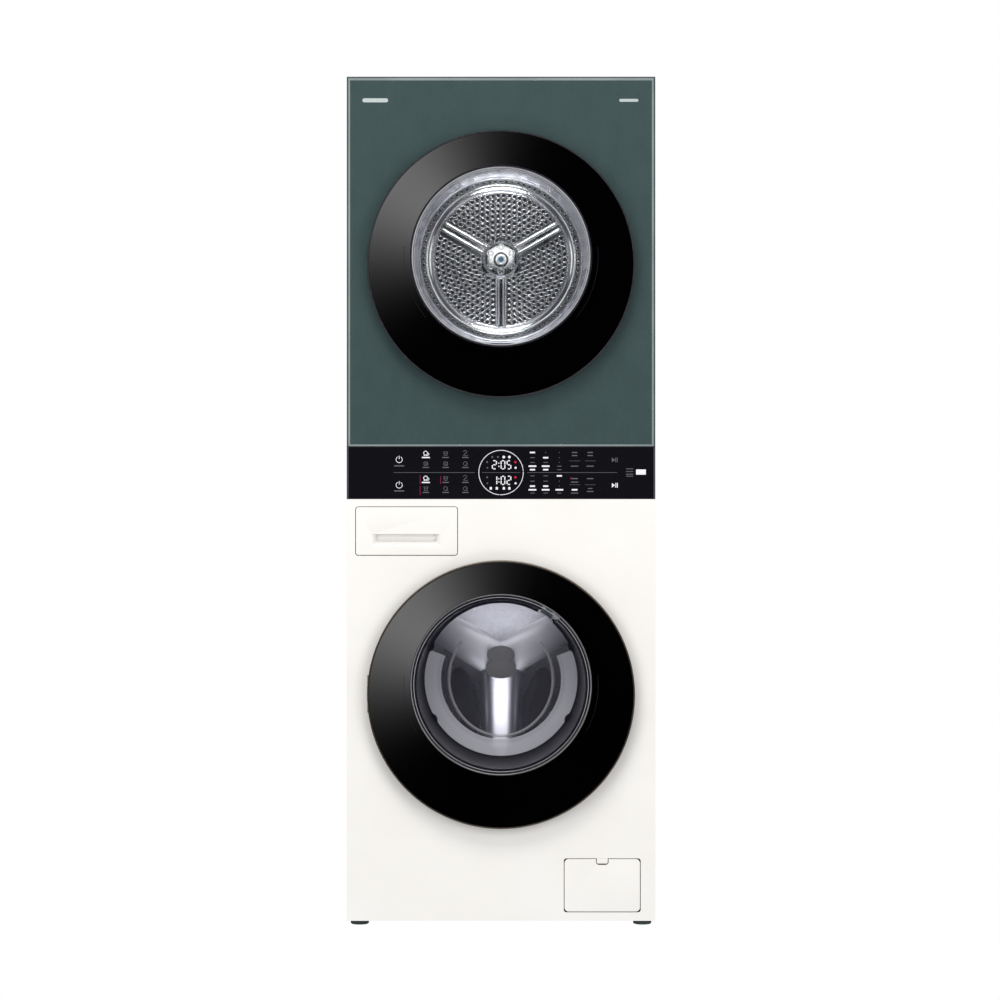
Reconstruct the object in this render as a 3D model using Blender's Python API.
"""Washer dryer stack: a front-loading washer with a dryer above it, built as one tower.

Metres, +Z up. The front faces -Y and +X is the right-hand side seen from the front.
The origin is on the floor, under the middle of the tower.
"""
import math

import bmesh
import bpy
from mathutils import Matrix

# Overall size, doors and water connections included
WIDTH = 0.600
DEPTH = 0.660
HEIGHT = 1.655

# Faces of the cabinet
SIDE = WIDTH / 2
DOOR_FRONT = -DEPTH / 2
REAR_STUB_END = DEPTH / 2
FRONT = -0.292
FRONT_RETURN = -0.262
BACK = 0.322
SHEET = 0.0012
GAP = 0.0003

# Levels
CABINET_BOTTOM = 0.014
WASHER_TOP = 0.834
CONTROL_TOP = 0.9365
TOP_PLATE = 0.002
TRIM_SIDE = 0.0037
TRIM_TOP = 0.005

# Axes of the drums and centres of the doors
WASHER_AXIS = 0.476
DRYER_AXIS = 1.306
WASHER_DOOR = 0.456
DRYER_DOOR = 1.2906

# Doors
DOOR_RADIUS = 0.2595
DOOR_BACK = -0.294
GLASS_RADIUS = 0.256
GLASS_CROWN = 0.007
GLASS_THICKNESS = 0.0035
WINDOW_RADIUS = 0.172
WINDOW_NECK = 0.168
OPENING_RADIUS = 0.190
PIVOT_X = -0.256
PIVOT_Y = -0.302
PIN_RADIUS = 0.002
LATCH_X = 0.222

# Washer tub and drum
TUB_RADIUS = 0.246
TUB_WALL = 0.006
TUB_FRONT = -0.215
TUB_SPLIT = -0.060
TUB_BACK = 0.200
TUB_MOUTH = 0.168
WASHER_DRUM_RADIUS = 0.230
WASHER_DRUM_FRONT = -0.198
WASHER_DRUM_BACK = 0.163
WASHER_DRUM_MOUTH = 0.172
SHAFT_RADIUS = 0.016
SHAFT_END = 0.252
SPRING_X = 0.252
SPRING_Y = 0.012
DAMPER_X = 0.196
DAMPER_Y = 0.020

# Detergent drawer
DRAWER_LEFT = -0.2823
DRAWER_RIGHT = -0.0849
DRAWER_LOW = 0.7248
DRAWER_HIGH = 0.8183
DRAWER_FRONT_DEPTH = 0.022
TRAY_BACK = -0.060
HOUSING_BACK = -0.040

# Drain filter behind its cover
COVER_LEFT = 0.1233
COVER_RIGHT = 0.2702
COVER_LOW = 0.0318
COVER_HIGH = 0.134
CAP_X = 0.1968
CAP_Z = 0.084

# Dryer drum and its drive
DRYER_DRUM_RADIUS = 0.280
DRYER_DRUM_FRONT = -0.233
DRYER_DRUM_BACK = 0.222
BULKHEAD_BACK = -0.2365
BULKHEAD_MOUTH = 0.176
ROLLER_RADIUS = 0.022
ROLLER_ANGLE = math.radians(35)
PULLEY_RADIUS = 0.014
MOTOR_X = 0.190
MOTOR_Z = 0.930
BELT_THICKNESS = 0.002

# Feet
FOOT_X = 0.2765
FOOT_FRONT_Y = -0.236
FOOT_REAR_Y = 0.285

ROUND = 28
DOOR_ROUND = 40
WINDOW_ROUND = 30
DRYER_DRUM_ROUND = 40


# ---------------------------------------------------------------- helpers

def clear_scene():
    for old in list(bpy.data.objects):
        bpy.data.objects.remove(old, do_unlink=True)


def make_material(name, colour, roughness, metallic=0.0):
    material = bpy.data.materials.new(name)
    material.use_nodes = True
    shader = material.node_tree.nodes["Principled BSDF"]
    shader.inputs["Base Color"].default_value = (*colour, 1.0)
    shader.inputs["Roughness"].default_value = roughness
    shader.inputs["Metallic"].default_value = metallic
    material.diffuse_color = (*colour, 1.0)
    return material


def add_object(name, mesh_builder, material=None, smooth=True):
    """Make an object from a bmesh, with its faces turned outwards."""
    bmesh.ops.remove_doubles(mesh_builder, verts=mesh_builder.verts, dist=1e-6)
    bmesh.ops.recalc_face_normals(mesh_builder, faces=mesh_builder.faces)
    mesh = bpy.data.meshes.new(name)
    mesh_builder.to_mesh(mesh)
    mesh_builder.free()
    if smooth:
        mesh.shade_smooth()
        mesh.set_sharp_from_angle(angle=math.radians(35))
    obj = bpy.data.objects.new(name, mesh)
    bpy.context.scene.collection.objects.link(obj)
    if material is None:
        obj.hide_render = True
        obj.display_type = "WIRE"
    else:
        mesh.materials.append(material)
    return obj


def box(name, x, y, z, material=None, bevel=0.0):
    """A box between two limits on each axis, with its edges rounded if bevel is given."""
    shape = bmesh.new()
    bmesh.ops.create_cube(shape, size=1.0)
    size = Matrix.Diagonal((x[1] - x[0], y[1] - y[0], z[1] - z[0], 1.0))
    centre = Matrix.Translation(((x[0] + x[1]) / 2, (y[0] + y[1]) / 2, (z[0] + z[1]) / 2))
    bmesh.ops.transform(shape, matrix=centre @ size, verts=shape.verts)
    if bevel > 0.0:
        bmesh.ops.bevel(shape, geom=list(shape.edges), offset=bevel, segments=2,
                        profile=0.5, affect="EDGES")
    return add_object(name, shape, material, smooth=bevel > 0.0)


def outline_solid(name, outline, y, material=None):
    """A flat outline of (x, z) points, drawn through from y[0] to y[1]."""
    shape = bmesh.new()
    near = [shape.verts.new((px, y[0], pz)) for px, pz in outline]
    face = shape.faces.new(near)
    made = bmesh.ops.extrude_face_region(shape, geom=[face])
    moved = [item for item in made["geom"] if isinstance(item, bmesh.types.BMVert)]
    bmesh.ops.translate(shape, verts=moved, vec=(0.0, y[1] - y[0], 0.0))
    return add_object(name, shape, material)


def arc(centre, radius, start, end, steps):
    points = []
    for step in range(steps + 1):
        angle = math.radians(start + (end - start) * step / steps)
        points.append((centre[0] + radius * math.cos(angle), centre[1] + radius * math.sin(angle)))
    return points


def rounded_plate(name, x, z, y, radius, material=None):
    """A plate in the XZ plane with round corners."""
    outline = []
    outline += arc((x[1] - radius, z[1] - radius), radius, 0, 90, 4)
    outline += arc((x[0] + radius, z[1] - radius), radius, 90, 180, 4)
    outline += arc((x[0] + radius, z[0] + radius), radius, 180, 270, 4)
    outline += arc((x[1] - radius, z[0] + radius), radius, 270, 360, 4)
    return outline_solid(name, outline, y, material)


def lathe(name, profile, centre, material=None, axis="Y", segments=ROUND):
    """Turn a closed profile of (radius, height) points about an axis through centre.

    The axis is Y or Z, and height is measured along it as a world coordinate.
    centre is (x, z) for a Y axis and (x, y) for a Z axis.
    """
    shape = bmesh.new()
    verts = [shape.verts.new((radius, 0.0, height)) for radius, height in profile]
    edges = []
    for index, vert in enumerate(verts):
        following = verts[(index + 1) % len(verts)]
        if vert.co.x > 0.0 or following.co.x > 0.0:
            edges.append(shape.edges.new((vert, following)))
    bmesh.ops.spin(shape, geom=verts + edges, cent=(0.0, 0.0, 0.0), axis=(0.0, 0.0, 1.0),
                   angle=math.tau, steps=segments, use_merge=True)
    if axis == "Y":
        turn = Matrix.Translation((centre[0], 0.0, centre[1])) @ Matrix.Rotation(-math.pi / 2, 4, "X")
    else:
        turn = Matrix.Translation((centre[0], centre[1], 0.0))
    bmesh.ops.transform(shape, matrix=turn, verts=shape.verts)
    return add_object(name, shape, material)


def cylinder(name, radius, length, centre, material=None, axis="Y", segments=ROUND):
    """A plain cylinder: length gives its two ends along the axis."""
    profile = [(0.0, length[0]), (radius, length[0]), (radius, length[1]), (0.0, length[1])]
    return lathe(name, profile, centre, material, axis, segments)


def combine(target, operation, tools):
    for tool in tools:
        tool.hide_render = True
        tool.display_type = "WIRE"
        modifier = target.modifiers.new(tool.name, "BOOLEAN")
        modifier.operation = operation
        modifier.solver = "EXACT"
        modifier.object = tool
    return target


def cut(target, *tools):
    return combine(target, "DIFFERENCE", tools)


def weld(target, *tools):
    return combine(target, "UNION", tools)


def hang_on_axis(name, location, pieces, parent=None):
    """Parent pieces to an empty on their joint's axis, without moving them."""
    pivot = bpy.data.objects.new(name, None)
    bpy.context.scene.collection.objects.link(pivot)
    pivot.location = location
    pivot.parent = parent
    if parent is not None:
        pivot.matrix_parent_inverse = Matrix.Translation(parent.location).inverted()
    for piece in pieces:
        piece.parent = pivot
        piece.matrix_parent_inverse = Matrix.Translation(location).inverted()
    return pivot


# ---------------------------------------------------------------- cabinet

def make_front_shell(name, low, high, material):
    """A sheet front with its edges returned backwards, open at the back."""
    shell = box(name, (-SIDE, SIDE), (FRONT, FRONT_RETURN), (low, high), material)
    hollow = box(name + "_hollow", (-SIDE + SHEET, SIDE - SHEET), (FRONT + SHEET, FRONT_RETURN + 0.01),
                 (low + SHEET, high - SHEET))
    return cut(shell, hollow)


def door_slots(label, level):
    """Cutters for the hinge arm and the latch of a door at this level."""
    hinge = box(label + "_hinge_slot", (PIVOT_X - 0.0045, PIVOT_X + 0.0045), (FRONT - 0.01, FRONT + 0.01),
                (level - 0.0135, level + 0.0135))
    latch = box(label + "_latch_slot", (LATCH_X - 0.0075, LATCH_X + 0.0095), (FRONT - 0.01, FRONT + 0.01),
                (level - 0.0115, level + 0.0115))
    return [hinge, latch]


def make_washer_cabinet(steel, zinc):
    low = CABINET_BOTTOM
    high = WASHER_TOP - GAP
    inside = SIDE - SHEET - 0.001
    start = FRONT_RETURN + GAP
    pan = box("base_pan", (-inside, inside), (start, BACK - SHEET - 2 * GAP), (low, low + 0.020), zinc)
    pan_wall = 0.0025
    cut(pan, box("base_pan_hollow", (-inside + pan_wall, inside - pan_wall),
                 (start + pan_wall, BACK - SHEET - pan_wall), (low + pan_wall, low + 0.03)))
    for index, (x, y) in enumerate(foot_places()):
        cut(pan, cylinder("foot_hole_%d" % index, 0.0058, (0.0, 0.04), (x, y), axis="Z", segments=16))
    for side, name in ((-1, "washer_left_side_panel"), (1, "washer_right_side_panel")):
        edges = sorted((side * SIDE, side * (SIDE - SHEET)))
        box(name, edges, (start, BACK), (low, high), steel)
    rear = box("washer_rear_panel", (-inside, inside), (BACK - SHEET, BACK), (low, high), zinc)
    cut(rear, cylinder("drain_hose_hole", 0.0145, (BACK - 0.02, BACK + 0.02), (-0.20, 0.760), segments=16))
    for index, x in enumerate((0.165, 0.205)):
        cut(rear, cylinder("inlet_hole_%d" % index, 0.0125, (BACK - 0.02, BACK + 0.02), (x, 0.785),
                           segments=16))
    cut(rear, box("rear_cover_recess", (-0.12, 0.12), (BACK - 0.0005, BACK + 0.01), (0.33, 0.62)))
    front = make_front_shell("washer_front_panel", low, high, steel)
    cut(front, cylinder("washer_mouth", OPENING_RADIUS, (FRONT - 0.01, FRONT + 0.01), (0.0, WASHER_AXIS),
                        segments=48))
    through = (FRONT - 0.01, FRONT + 0.01)
    clear = 0.0012
    cut(front, rounded_plate("drawer_opening", (DRAWER_LEFT - clear, DRAWER_RIGHT + clear),
                             (DRAWER_LOW - clear, DRAWER_HIGH + clear), through, 0.006))
    # The cover folds out past the lower corners of its opening, so their radius is kept small.
    clear = 0.0013
    cut(front, rounded_plate("cover_opening", (COVER_LEFT - clear, COVER_RIGHT + clear),
                             (COVER_LOW - clear, COVER_HIGH + clear), through, 0.005))
    cut(front, *door_slots("washer", WASHER_DOOR))
    return front


def make_dryer_cabinet(green, dark, trim, zinc):
    low = WASHER_TOP + GAP
    high = HEIGHT - TOP_PLATE - GAP
    side_sheet = 0.0027
    for side, name in ((-1, "dryer_left_side_panel"), (1, "dryer_right_side_panel")):
        edges = sorted((side * SIDE, side * (SIDE - side_sheet)))
        panel = box(name, edges, (FRONT + 0.0015, BACK), (low, high), dark)
        inner = sorted((side * (SIDE - SHEET), side * (SIDE - 0.01)))
        cut(panel,
            box(name + "_notch", (side * SIDE - 0.01, side * SIDE + 0.01),
                (FRONT - 0.01, FRONT_RETURN + GAP), (low - 0.01, CONTROL_TOP + GAP)),
            box(name + "_hollow", inner, (FRONT_RETURN + 0.015, BACK - 0.010),
                (low + 0.012, high - 0.012)))
    inside = SIDE - side_sheet - GAP
    frame = box("dryer_front_trim", (-inside, inside), (FRONT + 0.0005, FRONT_RETURN),
                (CONTROL_TOP + GAP, high), trim)
    panel_edge = inside - TRIM_SIDE
    panel_low = CONTROL_TOP + 0.0036
    panel_high = high - TRIM_TOP
    cut(frame, box("trim_inside", (-panel_edge, panel_edge), (FRONT - 0.01, FRONT_RETURN + 0.01),
                   (panel_low, panel_high)))
    panel = box("dryer_front_panel", (-panel_edge + GAP, panel_edge - GAP), (FRONT, FRONT + 0.0025),
                (panel_low + GAP, panel_high - GAP), green)
    cut(panel, cylinder("dryer_mouth", OPENING_RADIUS, (FRONT - 0.01, FRONT + 0.01), (0.0, DRYER_AXIS),
                        segments=48))
    cut(panel, *door_slots("dryer", DRYER_DOOR))
    box("top_cover", (-SIDE, SIDE), (FRONT + 0.0005, BACK), (HEIGHT - TOP_PLATE, HEIGHT), dark,
        bevel=0.0006)
    rear = box("dryer_rear_panel", (-inside, inside), (BACK - SHEET, BACK), (low, high), zinc)
    for row in range(7):
        level = 0.890 + 0.012 * row
        cut(rear, box("rear_vent_%d" % row, (0.07, 0.23), (BACK - 0.01, BACK + 0.01),
                      (level, level + 0.005)))
    boss = [(0.0, 0.305), (0.0, BACK - 0.0004), (0.034, BACK - 0.0004), (0.034, 0.262), (0.0125, 0.262),
            (0.0125, 0.305)]
    weld(rear, lathe("bearing_boss", boss, (0.0, DRYER_AXIS), segments=20))
    deck = box("middle_deck", (-inside, inside), (FRONT_RETURN + GAP, BACK - SHEET - GAP),
               (WASHER_TOP + 0.004, WASHER_TOP + 0.018), zinc)
    cut(deck, box("deck_hollow", (-inside + SHEET, inside - SHEET),
                  (FRONT_RETURN + GAP + SHEET, BACK - 2 * SHEET - GAP),
                  (WASHER_TOP - 0.01, WASHER_TOP + 0.0165)))


def make_controls(black, board_green):
    make_front_shell("control_fascia", WASHER_TOP + GAP, CONTROL_TOP, black)
    board = box("control_board", (-0.175, 0.175), (-0.2860, -0.2840), (0.851, 0.921), board_green)
    weld(board, box("board_display", (-0.040, 0.040), (-0.2900, -0.2850), (0.852, 0.919)))
    weld(board, box("board_relays", (0.060, 0.150), (-0.2850, -0.2700), (0.865, 0.905)))


def foot_places():
    return [(x, y) for y in (FOOT_FRONT_Y, FOOT_REAR_Y) for x in (-FOOT_X, FOOT_X)]


def make_feet(rubber):
    names = ("foot_front_left", "foot_front_right", "foot_rear_left", "foot_rear_right")
    shoulder = CABINET_BOTTOM - 0.0005
    profile = [(0.0, 0.0), (0.0165, 0.0), (0.018, 0.0015), (0.018, 0.007), (0.012, 0.0095),
               (0.012, shoulder), (0.005, shoulder), (0.005, 0.046), (0.0, 0.046)]
    for name, (x, y) in zip(names, foot_places()):
        foot = lathe(name, profile, (x, y), rubber, axis="Z", segments=14)
        hang_on_axis(name + "_axis", (x, y, 0.0), [foot])


# ---------------------------------------------------------------- washer

def make_tub(grey, concrete, copper):
    front = TUB_FRONT
    inner = TUB_RADIUS - TUB_WALL
    profile = [(TUB_MOUTH, front), (TUB_RADIUS, front), (TUB_RADIUS, TUB_SPLIT), (inner, TUB_SPLIT),
               (inner, front + TUB_WALL), (TUB_MOUTH, front + TUB_WALL)]
    front_shell = lathe("tub_front_shell", profile, (0.0, WASHER_AXIS), grey)
    bore = SHAFT_RADIUS + 0.0007
    boss = 0.045
    split = TUB_SPLIT + GAP
    back = TUB_BACK
    profile = [(bore, back), (TUB_RADIUS, back), (TUB_RADIUS, split), (inner, split),
               (inner, back - TUB_WALL), (boss, back - TUB_WALL), (boss, back - 0.014), (bore, back - 0.014)]
    rear_shell = lathe("tub_rear_shell", profile, (0.0, WASHER_AXIS), grey)
    for side in (-1, 1):
        spring_lug = sorted((side * 0.2095, side * 0.264))
        damper_lug = sorted((side * (DAMPER_X - 0.016), side * (DAMPER_X + 0.016)))
        weld(rear_shell,
             box("spring_lug", spring_lug, (SPRING_Y - 0.012, SPRING_Y + 0.012), (0.598, 0.610)),
             box("damper_lug", damper_lug, (DAMPER_Y - 0.012, DAMPER_Y + 0.012), (0.290, 0.312)))
    weight_in = OPENING_RADIUS + 0.012
    weight_out = TUB_RADIUS - 0.002
    profile = [(weight_in, -0.260), (weight_out, -0.260),
               (weight_out, front - GAP), (weight_in, front - GAP)]
    weight = lathe("counterweight", profile, (0.0, WASHER_AXIS), concrete)
    cut(weight, box("counterweight_gap", (-0.3, 0.3), (-0.3, -0.2), (0.1, WASHER_AXIS + 0.09)))
    profile = [(0.060, back + GAP), (0.118, back + GAP), (0.118, back + 0.026), (0.060, back + 0.026)]
    stator = lathe("motor_stator", profile, (0.0, WASHER_AXIS), copper)
    return [front_shell, rear_shell, weight, stator]


def make_washer_drum(steel, cast, magnet, lifter_plastic):
    radius = WASHER_DRUM_RADIUS
    inner = radius - SHEET
    front = WASHER_DRUM_FRONT
    back = WASHER_DRUM_BACK
    mouth = WASHER_DRUM_MOUTH
    profile = [(mouth, front), (radius, front), (radius, back), (0.0, back), (0.0, back - SHEET),
               (inner, back - SHEET), (inner, front + SHEET), (mouth, front + SHEET)]
    drum = lathe("washer_drum", profile, (0.0, WASHER_AXIS), steel, segments=40)
    hub_front = back + GAP
    hub_back = TUB_BACK - 0.016
    profile = [(0.0, hub_front), (0.040, hub_front), (0.040, hub_back), (SHAFT_RADIUS, hub_back),
               (SHAFT_RADIUS, SHAFT_END), (0.0, SHAFT_END)]
    spider = lathe("drum_spider", profile, (0.0, WASHER_AXIS), cast, segments=24)
    for arm in range(3):
        turn = math.radians(90 + 120 * arm)
        piece = box("spider_arm_%d" % arm, (0.0, 0.215), (hub_front, hub_front + 0.015), (-0.020, 0.020))
        piece.rotation_euler = (0.0, -turn, 0.0)
        piece.location = (0.0, 0.0, WASHER_AXIS)
        weld(spider, piece)
    plate = TUB_BACK + 0.032
    profile = [(SHAFT_RADIUS + GAP, plate - 0.004), (0.134, plate - 0.004), (0.134, TUB_BACK + 0.003),
               (0.141, TUB_BACK + 0.003), (0.141, plate + 0.002), (0.030, plate + 0.002),
               (0.030, plate + 0.014), (SHAFT_RADIUS + GAP, plate + 0.014)]
    rotor = lathe("motor_rotor", profile, (0.0, WASHER_AXIS), magnet)
    pieces = [drum, spider, rotor]
    for index in range(3):
        pieces.append(make_lifter("drum_lifter_%d" % (index + 1), math.radians(30 + 120 * index),
                                  lifter_plastic))
    return pieces


def make_lifter(name, angle, material):
    """A ridge along the inside of the drum, drawn at the top and turned to its place."""
    foot = WASHER_DRUM_RADIUS - SHEET - 0.0032
    outline = [(-0.030, foot), (-0.013, foot - 0.040), (-0.006, foot - 0.048), (0.006, foot - 0.048),
               (0.013, foot - 0.040), (0.030, foot)]
    turn = angle - math.pi / 2
    turned = []
    for x, z in outline:
        turned.append((x * math.cos(turn) - z * math.sin(turn),
                       WASHER_AXIS + x * math.sin(turn) + z * math.cos(turn)))
    return outline_solid(name, turned, (-0.165, 0.130), material)


def make_gasket(rubber):
    front = FRONT + SHEET + 0.002
    rear = TUB_FRONT - 0.002
    profile = [(0.1745, front), (0.1860, front), (0.1860, -0.262), (0.1800, -0.240), (0.1860, -0.226),
               (0.1860, rear), (0.1815, rear), (0.1815, -0.227), (0.1755, -0.240), (0.1815, -0.263),
               (0.1815, front + 0.004), (0.1745, front + 0.004)]
    lathe("door_gasket", profile, (0.0, WASHER_AXIS), rubber)


def make_suspension(spring_steel, black):
    """Two coil springs from the deck to the tub, and two dampers from the tub to the base."""
    turns = 8
    steps = 8
    top = WASHER_TOP + 0.0030
    low = 0.6135
    for side, name in ((-1, "suspension_spring_left"), (1, "suspension_spring_right")):
        curve = bpy.data.curves.new(name, "CURVE")
        curve.dimensions = "3D"
        curve.bevel_depth = 0.0016
        curve.bevel_resolution = 0
        curve.use_fill_caps = True
        spline = curve.splines.new("POLY")
        spline.points.add(turns * steps)
        for index, point in enumerate(spline.points):
            angle = math.tau * index / steps
            level = low + (top - low) * index / (turns * steps)
            point.co = (0.011 * math.cos(angle), 0.011 * math.sin(angle), level, 1.0)
        curve.materials.append(spring_steel)
        spring = bpy.data.objects.new(name, curve)
        spring.location = (side * SPRING_X, SPRING_Y, 0.0)
        bpy.context.scene.collection.objects.link(spring)
    rod_top = 0.2895
    profile = [(0.0, 0.0175), (0.013, 0.0175), (0.013, 0.180), (0.005, 0.182), (0.005, rod_top),
               (0.0, rod_top)]
    for side, name in ((-1, "damper_left"), (1, "damper_right")):
        lathe(name, profile, (side * DAMPER_X, DAMPER_Y), black, axis="Z", segments=16)


def make_drawer(face, plastic):
    """The detergent drawer, and the fixed housing that it slides in."""
    back_of_front = FRONT + DRAWER_FRONT_DEPTH
    front = rounded_plate("drawer_front", (DRAWER_LEFT, DRAWER_RIGHT), (DRAWER_LOW, DRAWER_HIGH),
                          (FRONT, back_of_front), 0.005, face)
    cut(front, rounded_plate("handle_recess", (-0.2517, -0.1175), (0.7422, 0.7659),
                             (FRONT - 0.01, FRONT + 0.018), 0.009))
    left = DRAWER_LEFT + 0.0123
    right = DRAWER_RIGHT - 0.0121
    tray = box("drawer_tray", (left, right), (back_of_front + GAP, TRAY_BACK), (0.728, 0.795), plastic)
    middle = (left + right) / 2
    pockets = (((left + 0.002, middle - 0.001), (-0.262, -0.072)),
               ((middle + 0.001, right - 0.002), (-0.262, -0.168)),
               ((middle + 0.001, right - 0.002), (-0.166, -0.072)))
    for index, (x, y) in enumerate(pockets):
        cut(tray, box("tray_pocket_%d" % index, x, y, (0.731, 0.81)))
    wall = 0.003
    gap = 0.003
    housing = box("dispenser_housing", (left - gap - wall, right + gap + wall),
                  (back_of_front + 0.0015, HOUSING_BACK), (0.722, 0.826), plastic)
    cut(housing, box("housing_hollow", (left - gap, right + gap),
                     (back_of_front - 0.01, HOUSING_BACK - wall), (0.725, 0.823)))
    hang_on_axis("drawer_axis", (middle, FRONT, (DRAWER_LOW + DRAWER_HIGH) / 2), [front, tray])


def make_drain(face, black, grey):
    """The drain pump with its filter pocket, the screw cap in it, and the cover in front."""
    pump = box("drain_pump", (0.1255, 0.2680), (-0.2840, -0.2350), (0.0370, 0.1320), black)
    cut(pump, box("pump_pocket", (0.1275, 0.2660), (-0.30, -0.2370), (0.0390, 0.1300)))
    centre = (CAP_X, CAP_Z)
    weld(pump, cylinder("filter_chamber", 0.0345, (-0.2360, -0.1500), centre, segments=24),
         cylinder("pump_body", 0.0460, (-0.1510, -0.0950), centre, segments=20),
         cylinder("pump_motor", 0.0280, (-0.0960, -0.0500), centre, segments=16))
    cut(pump, cylinder("chamber_bore", 0.0315, (-0.2500, -0.1540), centre, segments=24))
    profile = [(0.0, -0.2450), (0.0360, -0.2450), (0.0360, -0.2375), (0.0305, -0.2375), (0.0305, -0.1800),
               (0.0, -0.1800)]
    cap = lathe("drain_filter_cap", profile, centre, grey, segments=24)
    weld(cap, box("cap_grip", (CAP_X - 0.030, CAP_X + 0.030), (-0.2620, -0.2440),
                  (CAP_Z - 0.006, CAP_Z + 0.006)))
    hang_on_axis("drain_cap_axis", (CAP_X, -0.245, CAP_Z), [cap])
    cover = rounded_plate("filter_cover", (COVER_LEFT, COVER_RIGHT), (COVER_LOW, COVER_HIGH),
                          (FRONT, FRONT + 0.0025), 0.008, face)
    cut(cover, rounded_plate("cover_notch", (0.1846, 0.2090), (COVER_HIGH - 0.0115, COVER_HIGH + 0.02),
                             (FRONT - 0.01, FRONT + 0.01), 0.008))
    hang_on_axis("filter_cover_axis", (CAP_X, FRONT + 0.0015, 0.035), [cover])


def make_inlet_valve(plastic):
    valve = box("inlet_valve", (0.145, 0.225), (0.270, BACK - SHEET - GAP), (0.768, 0.802), plastic)
    for index, x in enumerate((0.165, 0.205)):
        weld(valve, cylinder("inlet_stub_%d" % index, 0.0105, (0.300, REAR_STUB_END), (x, 0.785),
                             segments=16))


def make_door_lock(black):
    lock = box("washer_door_lock", (0.205, 0.246), (-0.2896, -0.2640), (0.421, 0.491), black)
    cut(lock, box("lock_mouth", (LATCH_X - 0.0080, LATCH_X + 0.0100), (-0.30, -0.2670),
                  (WASHER_DOOR - 0.012, WASHER_DOOR + 0.012)))


# ---------------------------------------------------------------- doors

def make_door_hinge(name, level, metal):
    """The fixed half of a door hinge: a barrel and pin on an arm from a plate inside the cabinet."""
    axis = (PIVOT_X, PIVOT_Y)
    hinge = cylinder(name, 0.0035, (level - 0.018, level + 0.018), axis, metal, axis="Z", segments=12)
    weld(hinge,
         cylinder(name + "_pin", PIN_RADIUS, (level - 0.034, level + 0.034), axis, axis="Z", segments=8),
         box(name + "_arm", (PIVOT_X - 0.003, PIVOT_X + 0.003), (PIVOT_Y, -0.2870),
             (level - 0.012, level + 0.012)),
         box(name + "_plate", (-0.275, -0.237), (-0.2891, -0.2860), (level - 0.030, level + 0.030)))


def glass_depth(radius):
    """How far the crowned cover glass stands at this radius."""
    return DOOR_FRONT + GLASS_CROWN * (radius / GLASS_RADIUS) ** 2


def make_door(label, door_level, window_level, bowl, rim, glass, window_glass):
    """One door: a rim with knuckles and latch, a crowned cover glass, and the window bowl behind."""
    seat = glass_depth(GLASS_RADIUS) + GLASS_THICKNESS + 0.0005
    lip = DOOR_FRONT + 0.005
    recess = GLASS_RADIUS + GAP
    profile = [(0.0, seat), (recess, seat), (recess, lip + 0.0015), (GLASS_RADIUS + 0.0013, lip),
               (DOOR_RADIUS - 0.0008, lip + 0.0007), (DOOR_RADIUS, lip + 0.0030),
               (DOOR_RADIUS, DOOR_BACK - 0.006), (DOOR_RADIUS - 0.004, DOOR_BACK), (0.0, DOOR_BACK)]
    frame = lathe(label + "_door_frame", profile, (0.0, door_level), rim, segments=DOOR_ROUND)
    cut(frame, cylinder(label + "_window_hole", WINDOW_RADIUS + GAP, (DOOR_FRONT - 0.01, DOOR_BACK + 0.01),
                        (0.0, window_level), segments=WINDOW_ROUND))
    cut(frame, box(label + "_barrel_pocket", (PIVOT_X - 0.010, PIVOT_X + 0.0105),
                   (-0.3105, DOOR_BACK + 0.01), (door_level - 0.0183, door_level + 0.0183)))
    axis = (PIVOT_X, PIVOT_Y)
    for side in (-1, 1):
        ends = sorted((door_level + side * 0.0186, door_level + side * 0.0360))
        weld(frame, cylinder("%s_knuckle_%d" % (label, side), 0.0045, ends, axis, axis="Z", segments=12))
    cut(frame, cylinder(label + "_pin_bore", PIN_RADIUS + 0.0004, (door_level - 0.0350, door_level + 0.0350),
                        axis, axis="Z", segments=8))
    weld(frame, box(label + "_latch", (LATCH_X - 0.004, LATCH_X + 0.004), (DOOR_BACK - 0.003, -0.2720),
                    (door_level - 0.008, door_level + 0.008)))
    rings = 4
    radii = [GLASS_RADIUS * step / rings for step in range(rings + 1)]
    front = [(radius, glass_depth(radius)) for radius in radii]
    back = [(radius, glass_depth(radius) + GLASS_THICKNESS) for radius in reversed(radii)]
    cover = lathe(label + "_door_glass", front + back, (0.0, door_level), glass, segments=DOOR_ROUND)
    flange = seat + 0.0005
    step = DOOR_BACK + 0.0005
    neck = WINDOW_NECK
    wall = 0.0045
    outer = [(WINDOW_RADIUS, flange), (WINDOW_RADIUS, step), (neck, step)]
    outer += [(radius, depth) for radius, depth in bowl]
    inner = [(max(radius - wall, 0.0), depth - wall * 0.9) for radius, depth in reversed(bowl)]
    inner += [(neck - wall, step), (neck - wall, flange)]
    window = lathe(label + "_door_window", outer + inner, (0.0, window_level), window_glass,
                   segments=WINDOW_ROUND)
    hang_on_axis(label + "_door_axis", (PIVOT_X, PIVOT_Y, door_level), [frame, cover, window])


# ---------------------------------------------------------------- dryer

def roller_places():
    reach = DRYER_DRUM_RADIUS + ROLLER_RADIUS + 0.0005
    side = reach * math.sin(ROLLER_ANGLE)
    level = DRYER_AXIS - reach * math.cos(ROLLER_ANGLE)
    return [(-side, level), (side, level)]


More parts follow.
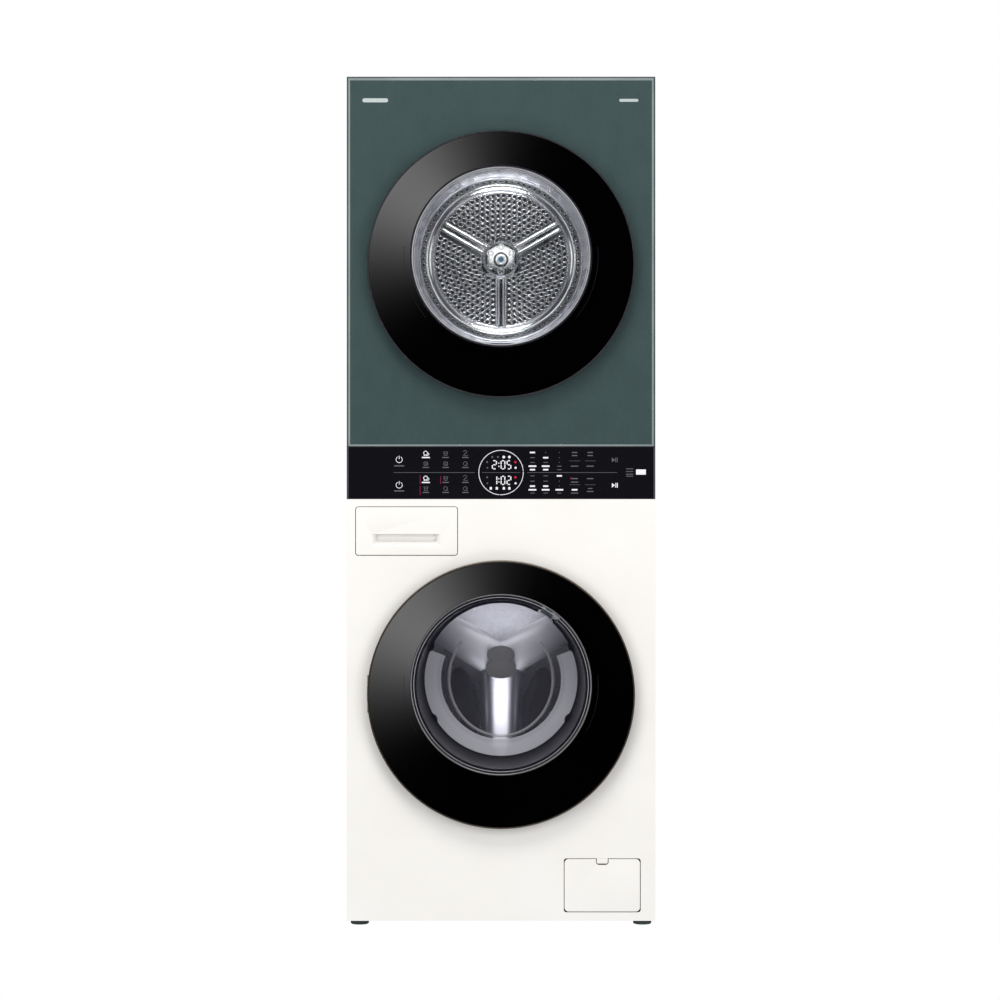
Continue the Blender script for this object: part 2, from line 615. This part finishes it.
def make_bulkhead(grey):
    """The plate behind the dryer's front, with the drum's mouth, roller pins and filter pocket."""
    front = BULKHEAD_BACK - 0.003
    plate = box("dryer_front_bulkhead", (-0.2950, 0.2950), (front, BULKHEAD_BACK), (1.010, 1.640), grey)
    collar_radius = BULKHEAD_MOUTH + 0.0025
    weld(plate, cylinder("mouth_collar", collar_radius, (-0.2880, front + 0.001), (0.0, DRYER_AXIS),
                         segments=48),
         box("filter_pocket", (-0.0890, 0.0890), (-0.2500, front + 0.0017), (1.040, 1.170)))
    for index, place in enumerate(roller_places()):
        weld(plate, cylinder("roller_pin_%d" % index, 0.005, (front + 0.0005, -0.199), place, segments=16))
    cut(plate, box("filter_slot", (-0.0865, 0.0865), (-0.2475, -0.2405), (1.0425, 1.185)),
        cylinder("mouth_bore", BULKHEAD_MOUTH, (-0.30, -0.20), (0.0, DRYER_AXIS), segments=48))


def make_dryer_drum(steel, back_steel):
    radius = DRYER_DRUM_RADIUS
    inner = radius - SHEET
    front = DRYER_DRUM_FRONT
    back = DRYER_DRUM_BACK
    lip = 0.200
    profile = [(lip, front), (radius, front), (radius, back), (inner, back), (inner, front + SHEET),
               (lip, front + SHEET)]
    shell = lathe("dryer_drum", profile, (0.0, DRYER_AXIS), steel, segments=DRYER_DRUM_ROUND)
    face = [(0.0, 0.190), (0.038, 0.190), (0.042, 0.194), (0.044, 0.205), (0.140, 0.205), (0.148, 0.198),
            (0.166, 0.198), (0.190, 0.210), (inner - GAP, 0.214)]
    behind = [(inner - GAP, 0.218), (0.190, 0.2135), (0.166, 0.2015), (0.148, 0.2015), (0.140, 0.2085),
              (0.012, 0.2085), (0.012, 0.300), (0.0, 0.300)]
    back_disc = lathe("dryer_drum_back", face + behind, (0.0, DRYER_AXIS), back_steel,
                      segments=DRYER_DRUM_ROUND)
    for arm in range(3):
        spoke = box("back_spoke_%d" % arm, (0.030, 0.138), (0.1985, 0.2065), (-0.0115, 0.0115))
        spoke.rotation_euler = (0.0, -math.radians(30 + 120 * arm), 0.0)
        spoke.location = (0.0, 0.0, DRYER_AXIS)
        weld(back_disc, spoke)
    hang_on_axis("dryer_drum_axis", (0.0, 0.0, DRYER_AXIS), [shell, back_disc])


def belt_outline(offset):
    """The outline of a belt around the drum and the motor pulley, offset outwards from both."""
    large = DRYER_DRUM_RADIUS + offset
    small = PULLEY_RADIUS + offset
    reach_x = MOTOR_X
    reach_z = MOTOR_Z - DRYER_AXIS
    distance = math.hypot(reach_x, reach_z)
    heading = math.degrees(math.atan2(reach_z, reach_x))
    spread = math.degrees(math.acos((large - small) / distance))
    points = arc((0.0, DRYER_AXIS), large, heading + spread, heading + 360 - spread, 40)
    points += arc((MOTOR_X, MOTOR_Z), small, heading - spread, heading + spread, 6)
    return points


def make_drive(rubber, grey, zinc):
    """The belt, motor, its pulley, and the rollers under the front of the drum."""
    belt = outline_solid("drum_belt", belt_outline(0.0007 + BELT_THICKNESS), (-0.020, -0.006), rubber)
    cut(belt, outline_solid("belt_inside", belt_outline(0.0007), (-0.03, 0.01)))
    centre = (MOTOR_X, MOTOR_Z)
    profile = [(0.0, 0.010), (0.0, 0.140), (0.046, 0.140), (0.050, 0.134), (0.050, 0.004), (0.044, 0.0),
               (0.0068, 0.0), (0.0068, 0.010)]
    motor = lathe("dryer_motor", profile, centre, zinc, segments=20)
    weld(motor, box("motor_bracket", (MOTOR_X - 0.050, MOTOR_X + 0.050), (0.020, 0.120), (0.8535, 0.895)))
    profile = [(0.0, -0.023), (PULLEY_RADIUS, -0.023), (PULLEY_RADIUS, -0.003), (0.006, -0.003),
               (0.006, 0.008), (0.0, 0.008)]
    pulley = lathe("motor_pulley", profile, centre, grey, segments=16)
    hang_on_axis("motor_axis", (MOTOR_X, 0.0, MOTOR_Z), [pulley])
    profile = [(0.0053, -0.224), (ROLLER_RADIUS, -0.224), (ROLLER_RADIUS, -0.201), (0.0053, -0.201)]
    for name, place in zip(("drum_roller_left", "drum_roller_right"), roller_places()):
        roller = lathe(name, profile, place, grey, segments=20)
        hang_on_axis(name + "_axis", (place[0], -0.212, place[1]), [roller])


def make_heat_pump(black, fins):
    deck = WASHER_TOP + 0.018 + GAP
    profile = [(0.0, deck), (0.062, deck), (0.062, deck + 0.006), (0.055, deck + 0.010), (0.055, 0.985),
               (0.040, 1.000), (0.0, 1.000)]
    lathe("compressor", profile, (-0.190, -0.080), black, axis="Z", segments=20)
    exchanger = box("heat_exchanger", (-0.085, 0.075), (0.030, 0.250), (deck, 0.990), fins)
    for index in range(9):
        x = -0.075 + 0.016 * index
        cut(exchanger, box("fin_gap_%d" % index, (x, x + 0.009), (0.0, 0.3), (0.870, 0.980)))


def make_lint_filter(plastic):
    body = box("lint_filter", (-0.0850, 0.0850), (-0.2468, -0.2412), (1.0440, 1.1370), plastic)
    cut(body, box("lint_grip", (-0.030, 0.030), (-0.26, -0.2440), (1.1230, 1.1310)))
    hang_on_axis("lint_filter_axis", (0.0, -0.244, 1.045), [body])


def main():
    clear_scene()
    white = make_material("white_enamel", (0.93, 0.92, 0.90), 0.28)
    green = make_material("green_grey_metal", (0.055, 0.085, 0.088), 0.38, 0.6)
    dark = make_material("dark_grey_enamel", (0.075, 0.092, 0.090), 0.35, 0.4)
    trim = make_material("silver_trim", (0.62, 0.66, 0.66), 0.25, 1.0)
    black = make_material("black_brushed_panel", (0.008, 0.008, 0.011), 0.30)
    rim = make_material("door_rim_metal", (0.20, 0.19, 0.19), 0.30, 1.0)
    glass = make_material("tinted_glass", (0.010, 0.010, 0.012), 0.03)
    window_glass = make_material("clear_glass", (0.60, 0.62, 0.64), 0.03)
    steel = make_material("stainless_drum", (0.60, 0.60, 0.60), 0.25, 1.0)
    zinc = make_material("zinc_plated_sheet", (0.55, 0.56, 0.57), 0.45, 1.0)
    cast = make_material("cast_aluminium", (0.50, 0.50, 0.50), 0.55, 1.0)
    grey = make_material("grey_plastic", (0.32, 0.34, 0.35), 0.50)
    pale = make_material("pale_plastic", (0.78, 0.78, 0.76), 0.45)
    dark_plastic = make_material("black_plastic", (0.02, 0.02, 0.02), 0.50)
    rubber = make_material("dark_rubber", (0.05, 0.055, 0.055), 0.75)
    concrete = make_material("concrete", (0.42, 0.41, 0.39), 0.90)
    copper = make_material("copper_windings", (0.60, 0.28, 0.12), 0.40, 1.0)
    board_green = make_material("circuit_board", (0.02, 0.16, 0.06), 0.50)

    make_washer_cabinet(white, zinc)
    make_dryer_cabinet(green, dark, trim, zinc)
    make_controls(black, board_green)
    make_feet(rubber)
    tub_pivot = hang_on_axis("tub_axis", (0.0, 0.0, WASHER_AXIS), make_tub(grey, concrete, copper))
    hang_on_axis("washer_drum_axis", (0.0, 0.0, WASHER_AXIS),
                 make_washer_drum(steel, cast, zinc, pale), tub_pivot)
    make_gasket(rubber)
    make_suspension(zinc, dark_plastic)
    make_drawer(white, pale)
    make_drain(white, dark_plastic, grey)
    make_inlet_valve(pale)
    make_door_lock(dark_plastic)
    make_door_hinge("washer_door_hinge", WASHER_DOOR, cast)
    make_door_hinge("dryer_door_hinge", DRYER_DOOR, cast)
    deep_bowl = [(0.168, -0.286), (0.156, -0.222), (0.146, -0.208), (0.0, -0.202)]
    make_door("washer", WASHER_DOOR, WASHER_AXIS, deep_bowl, rim, glass, window_glass)
    shallow_bowl = [(0.168, -0.288), (0.158, -0.260), (0.0, -0.253)]
    make_door("dryer", DRYER_DOOR, DRYER_AXIS, shallow_bowl, rim, glass, window_glass)
    make_bulkhead(grey)
    make_dryer_drum(steel, steel)
    make_drive(rubber, grey, zinc)
    make_heat_pump(dark_plastic, cast)
    make_lint_filter(dark_plastic)


main()
